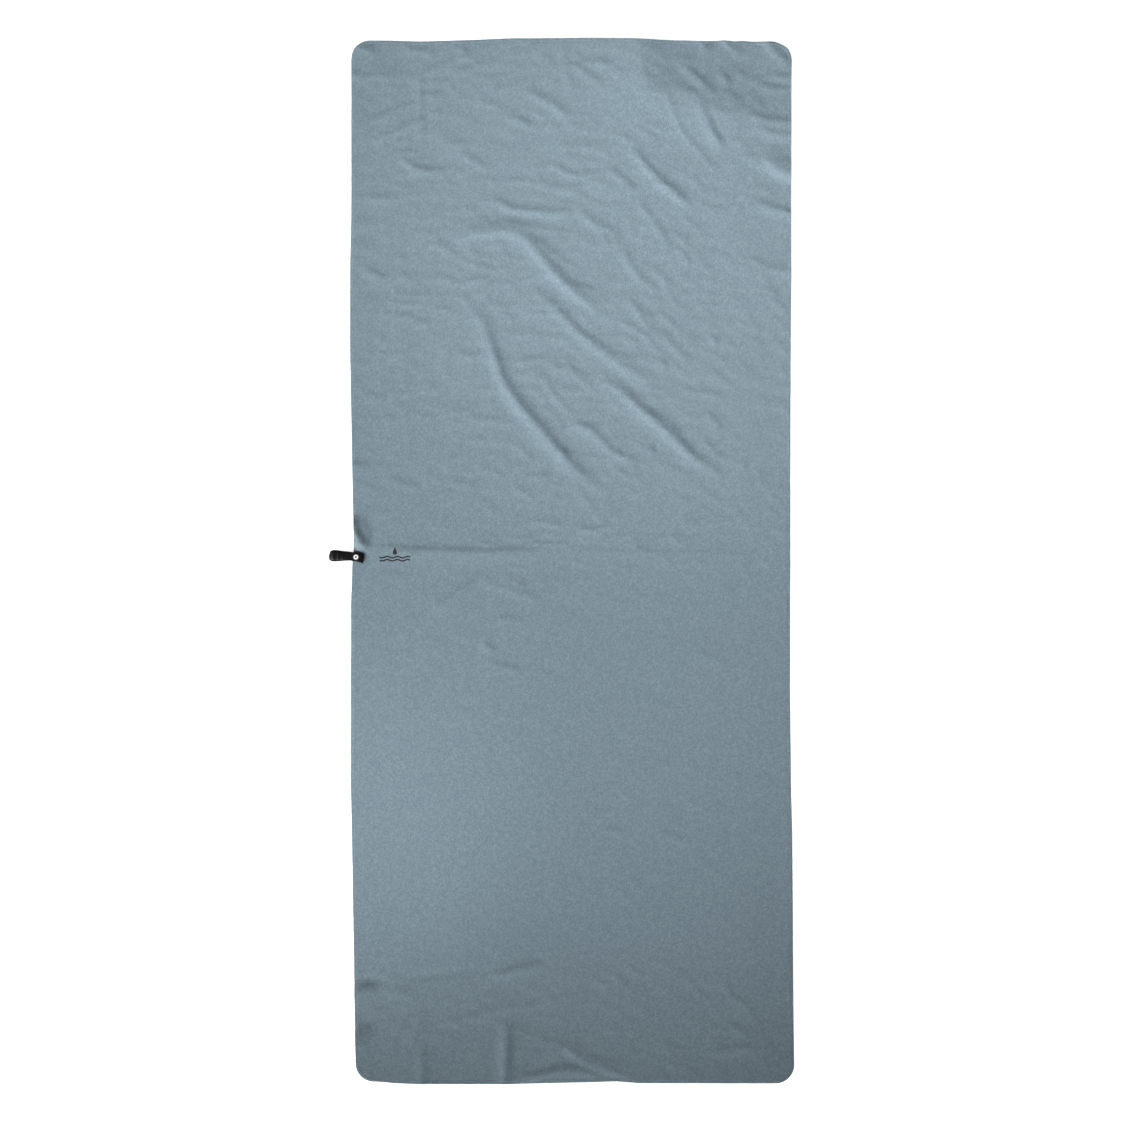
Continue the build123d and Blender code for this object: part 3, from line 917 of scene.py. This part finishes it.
def bump(tree, shader, height, strength, distance):
    """Fine relief, distance millimetres deep."""
    node = tree.nodes.new("ShaderNodeBump")
    node.inputs["Strength"].default_value = strength
    node.inputs["Distance"].default_value = distance * METRE
    tree.links.new(height, node.inputs["Height"])
    tree.links.new(node.outputs["Normal"], shader.inputs["Normal"])


def suede_material():
    """Slate blue microfibre suede: heathered yarns, a faint cloudy nap and a soft sheen."""
    material, tree, shader = new_material("microfibre_suede", (0.2, 0.28, 0.33), 0.92)
    shader.inputs["Sheen Weight"].default_value = 0.25
    shader.inputs["Sheen Roughness"].default_value = 0.6
    shader.inputs["Specular IOR Level"].default_value = 0.2
    yarns = colour_ramp(
        tree,
        noise_texture(tree, 1.5, 4, stretch=1.6, level=True),
        [(0.36, (0.172, 0.242, 0.286)), (0.5, (0.212, 0.288, 0.337)), (0.64, (0.26, 0.342, 0.392))],
    )
    slubs = colour_ramp(
        tree,
        noise_texture(tree, 5.5, 1, level=True),
        [(0.35, (0.94, 0.94, 0.94)), (0.65, (1, 1, 1))],
    )
    tree.links.new(multiplied(tree, yarns, slubs), shader.inputs["Base Color"])
    bump(tree, shader, noise_texture(tree, 0.9, 3, level=True), 0.5, 0.25)
    return material


def thread_material(name, dark, light):
    """An overlock thread that varies a little between two shades, both with painted light: lighter than
    the cloth they match, to cancel the shade the threads cast on one another.
    """
    material, tree, shader = new_material(name, light, 0.8)
    shade = colour_ramp(tree, noise_texture(tree, 3, 2), [(0.35, dark), (0.65, light)])
    tree.links.new(shade, shader.inputs["Base Color"])
    return material


def webbing_material():
    """Black nylon webbing with a satin gleam."""
    material, tree, shader = new_material("black_webbing", (0.005, 0.005, 0.0055), 0.42)
    shader.inputs["Specular IOR Level"].default_value = 0.35
    bump(tree, shader, noise_texture(tree, 0.35, 2), 0.4, 0.08)
    return material


def black_thread_material():
    """The tack thread."""
    return new_material("black_thread", (0.008, 0.008, 0.008), 0.55)[0]


def steel_material():
    """Nickel plated steel of the snap."""
    return new_material("nickel_plate", (0.87, 0.87, 0.86), 0.12, metallic=1.0)[0]


def spring_material():
    """Bare spring wire inside the snap."""
    return new_material("spring_wire", (0.55, 0.55, 0.56), 0.3, metallic=1.0)[0]


def enamel_material():
    """Dark enamel in the cap's dimple."""
    material, _, shader = new_material("dark_enamel", (0.012, 0.013, 0.015), 0.6)
    shader.inputs["Specular IOR Level"].default_value = 0.2
    return material


def ink_material():
    """Near black ink of the print."""
    return new_material("ink", (0.009, 0.01, 0.013), 0.7)[0]


def floor_material():
    """White paper that glows a little, so that it stays white beyond the lamps' pools of light."""
    material, _, shader = new_material("white_floor", (0.9, 0.9, 0.9), 0.9)
    shader.inputs["Specular IOR Level"].default_value = 0.0
    shader.inputs["Emission Color"].default_value = (1, 1, 1, 1)
    shader.inputs["Emission Strength"].default_value = FLOOR_GLOW
    return material


# ---------------------------------------------------------------- stage


def floor(material):
    """White paper, just below the stitches that stand out under the towel."""
    sides = [(-1, -1), (1, -1), (1, 1), (-1, 1)]
    corners = [(x * STAGE_REACH, y * STAGE_REACH, FLOOR_LEVEL) for x, y in sides]
    return new_mesh("floor", corners, [(0, 1, 2, 3)], material)


def backdrop(material):
    """A pale wall all round the stage's far edge. Only the camera sees it, so it adds no light."""
    sides = 48
    points, faces = [], []
    for k in range(sides):
        turn = 2 * math.pi * k / sides
        x, y = STAGE_REACH * math.cos(turn), STAGE_REACH * math.sin(turn)
        points += [(x, y, FLOOR_LEVEL), (x, y, STAGE_REACH)]
        n = (k + 1) % sides
        faces.append((2 * k, 2 * n, 2 * n + 1, 2 * k + 1))
    wall = new_mesh("backdrop", points, faces, material)
    wall.visible_diffuse = False
    wall.visible_glossy = False
    wall.visible_transmission = False
    wall.visible_shadow = False
    return wall


def spot(name, azimuth, elevation, distance, aim, half_angle, watts, size):
    """A soft edged lamp at a distance in metres, aimed at a point (x, y) in metres on the floor."""
    lamp = bpy.data.lights.new(name, "SPOT")
    lamp.energy = watts
    lamp.spot_size = math.radians(2 * half_angle)
    lamp.spot_blend = 1.0
    lamp.shadow_soft_size = size
    turn, rise = math.radians(azimuth), math.radians(elevation)
    obj = bpy.data.objects.new(name, lamp)
    obj.location = (
        aim[0] + distance * math.cos(rise) * math.cos(turn),
        aim[1] + distance * math.cos(rise) * math.sin(turn),
        distance * math.sin(rise),
    )
    obj.rotation_euler = (0, math.pi / 2 - rise, turn)
    bpy.context.scene.collection.objects.link(obj)


def overhead_panel():
    """A weak panel above the loop, which the metal of the snap mirrors towards the camera."""
    lamp = bpy.data.lights.new("overhead_panel", "AREA")
    lamp.energy = PANEL_WATTS
    lamp.size = PANEL_SIZE_M
    obj = bpy.data.objects.new("overhead_panel", lamp)
    obj.location = PANEL_PLACE_M
    bpy.context.scene.collection.objects.link(obj)


def camera():
    """Straight above the towel, looking down through a long lens."""
    lens = bpy.data.cameras.new("camera")
    lens.lens = LENS_MM
    lens.sensor_width = SENSOR_MM
    lens.clip_end = VIEW_DEPTH_M
    obj = bpy.data.objects.new("camera", lens)
    obj.location = CAMERA_PLACE_M
    bpy.context.scene.collection.objects.link(obj)
    bpy.context.scene.camera = obj


def light_the_stage():
    """The key window at the lower left, two small fills, the overhead panel and a faint even light."""
    world = bpy.data.worlds.new("world")
    world.use_nodes = True
    world.node_tree.nodes["Background"].inputs["Color"].default_value = (1, 1, 1, 1)
    world.node_tree.nodes["Background"].inputs["Strength"].default_value = WORLD_LIGHT
    bpy.context.scene.world = world
    for azimuth, elevation in KEY_WINDOW:
        spot(
            f"key_{azimuth}_{elevation}", azimuth, elevation, KEY_DISTANCE_M, KEY_AIM_M,
            KEY_HALF_ANGLE, KEY_WATTS, KEY_SIZE_M,
        )
    fills = [
        ("upper_fill", UPPER_FILL_AIM_M, UPPER_FILL_HALF_ANGLE, UPPER_FILL_WATTS),
        ("left_fill", LEFT_FILL_AIM_M, LEFT_FILL_HALF_ANGLE, LEFT_FILL_WATTS),
    ]
    for name, aim, half_angle, watts in fills:
        spot(
            name, FILL_AZIMUTH, FILL_ELEVATION, FILL_DISTANCE_M, aim, half_angle, watts, FILL_SIZE_M
        )
    overhead_panel()
    bpy.context.scene.view_settings.view_transform = "Standard"


# ---------------------------------------------------------------- build


def build():
    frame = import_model()
    suede = suede_material()
    # The edge thread's two shades carry painted light: lighter than the cloth, so that the shaded overlock
    # band reads as bright as the cloth.
    thread = thread_material("edge_thread", (0.26, 0.35, 0.405), (0.37, 0.475, 0.535))
    webbing = webbing_material()
    black_thread = black_thread_material()
    steel = steel_material()

    cloth = towel_cloth(suede)
    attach(cloth, "towel")
    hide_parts("towel_panel")

    for piece, node in overlocked_edge(thread):
        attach(piece, "towel")
        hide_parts(node)

    ink = print_motif(cloth, ink_material())
    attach(ink, "towel")
    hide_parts("print_motif")

    tack = tack_stitches(black_thread)
    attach(tack, "towel")
    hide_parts("loop_tack_thread")

    strap = loop_strap(webbing)
    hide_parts("loop_strap_sewn", "loop_strap_free")
    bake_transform(strap)

    enamel = cap_enamel(enamel_material())
    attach(enamel, "loop_flap")

    for node in ("snap_post", "snap_stud", "snap_socket", "snap_cap"):
        frame["nodes"][node].data.materials.clear()
        frame["nodes"][node].data.materials.append(steel)
    frame["nodes"]["snap_spring"].data.materials.clear()
    frame["nodes"]["snap_spring"].data.materials.append(spring_material())

    paper = floor_material()
    floor(paper)
    backdrop(paper)
    camera()
    light_the_stage()


build()
